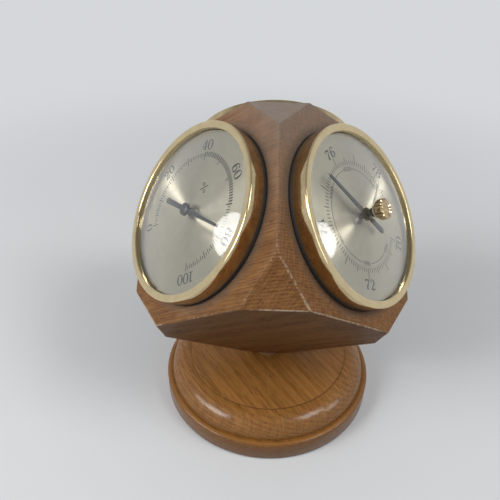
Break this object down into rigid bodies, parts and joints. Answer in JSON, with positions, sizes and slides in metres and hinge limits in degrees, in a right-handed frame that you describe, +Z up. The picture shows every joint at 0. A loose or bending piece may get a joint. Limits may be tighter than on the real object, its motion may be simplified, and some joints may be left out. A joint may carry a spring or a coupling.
{
  "type": "table weather station",
  "caption": "Corner-standing wooden cube with cut corners on a turned foot, carrying round hygrometer, barometer and thermometer dials in brass bezels.",
  "frame": {"origin": "middle of the foot's underside, on the table", "axes": "+Z up; -Y towards the reader who sees the hygrometer on the left and the barometer on the right; +X to that reader's right"},
  "size_m": [0.1168, 0.1175, 0.1422],
  "materials": {
    "oak": "stained oak, satin",
    "lacquered_wood": "clear gloss lacquer",
    "felt": "pressed felt",
    "nylon": "plain",
    "brass": "plain turned",
    "polished_brass": "polished and lacquered",
    "gilt": "satin",
    "steel": "plain",
    "nickel_silver": "pressed sheet",
    "case_metal": "plated",
    "black_rubber": "moulded",
    "dial_metal": "champagne, brushed outwards from the middle",
    "clear_lens": "clear domed acrylic",
    "black_hand": "satin black",
    "coil_metal": "plain strip"
  },
  "bodies": {
    "foot": {"foot": "lacquered_wood", "felt_pad": "felt", "pivot_bush": "brass", "spring_washer": "steel", "swivel_washer": "nylon"},
    "head": {"pivot_bolt": "steel", "threaded_insert": "brass", "head_block": "oak", "hygrometer_gasket": "black_rubber", "hygrometer_bezel": "polished_brass", "hygrometer_dial": "dial_metal", "hygrometer_spacer_ring": "gilt", "hygrometer_case": "case_metal", "hygrometer_lens": "clear_lens", "hygrometer_screws": "steel", "hygrometer_bridge": "brass", "hygrometer_coil": "coil_metal", "thermometer_gasket": "black_rubber", "thermometer_bezel": "polished_brass", "thermometer_dial": "dial_metal", "thermometer_spacer_ring": "gilt", "thermometer_case": "case_metal", "thermometer_lens": "clear_lens", "thermometer_screws": "steel", "thermometer_bridge": "brass", "thermometer_coil": "coil_metal", "barometer_gasket": "black_rubber", "barometer_bezel": "polished_brass", "barometer_dial": "dial_metal", "barometer_spacer_ring": "gilt", "barometer_case": "case_metal", "barometer_lens": "clear_lens", "barometer_screws": "steel", "barometer_base_plate": "brass", "barometer_frame": "brass", "barometer_capsule": "nickel_silver", "barometer_diaphragm": "nickel_silver", "barometer_hairspring": "steel", "barometer_lens_bush": "brass"},
    "hygrometer_hand": {"hygrometer_pointer": "black_hand", "hygrometer_arbor": "steel"},
    "thermometer_hand": {"thermometer_pointer": "black_hand", "thermometer_arbor": "steel"},
    "barometer_hand": {"barometer_pointer": "black_hand", "barometer_pinion_arbor": "brass"},
    "barometer_sector": {"barometer_sector": "brass"},
    "barometer_rocking_shaft": {"barometer_rocking_shaft": "steel"},
    "barometer_set_hand": {"barometer_set_knob": "polished_brass", "barometer_set_hand": "brass"}
  },
  "joints": [
    {"name": "head_swivel", "type": "hinge", "parent": "foot", "child": "head", "pos_m": [0, 0, 0.0212], "axis": [0, 0, 1], "continuous": true},
    {"name": "hygrometer_reading", "type": "hinge", "parent": "head", "child": "hygrometer_hand", "pos_m": [-0.03309, -0.01911, 0.10965], "axis": [0.7071, 0.4082, -0.5774], "range_deg": [-211.5, 58.5], "stiffness_Nm_per_rad": 0.0005},
    {"name": "thermometer_reading", "type": "hinge", "parent": "head", "child": "thermometer_hand", "pos_m": [0, 0.03821, 0.10965], "axis": [0, -0.8165, -0.5774], "range_deg": [-172, 98], "stiffness_Nm_per_rad": 0.0005},
    {"name": "barometer_reading", "type": "hinge", "parent": "head", "child": "barometer_hand", "pos_m": [0.03309, -0.01911, 0.10965], "axis": [-0.7071, 0.4082, -0.5774], "range_deg": [-191, 133], "stiffness_Nm_per_rad": 0.0005},
    {"name": "barometer_sector_turn", "type": "hinge", "parent": "head", "child": "barometer_sector", "pos_m": [0.01742, -0.0141, 0.11991], "axis": [-0.7071, 0.4082, -0.5774], "range_deg": [-16.82, 24.07]},
    {"name": "barometer_rocking", "type": "hinge", "parent": "head", "child": "barometer_rocking_shaft", "pos_m": [0.02238, -0.01823, 0.10278], "axis": [-0.5, 0.2887, 0.8165], "range_deg": [-11.92, 8.36]},
    {"name": "barometer_set_hand_turn", "type": "hinge", "parent": "head", "child": "barometer_set_hand", "pos_m": [0.03532, -0.02039, 0.11147], "axis": [-0.7071, 0.4082, -0.5774], "continuous": true}
  ],
  "couplings": [
    {"joint": "barometer_sector_turn", "follows": "barometer_reading", "ratio": -0.125},
    {"joint": "barometer_rocking", "follows": "barometer_reading", "ratio": 0.06135}
  ]
}
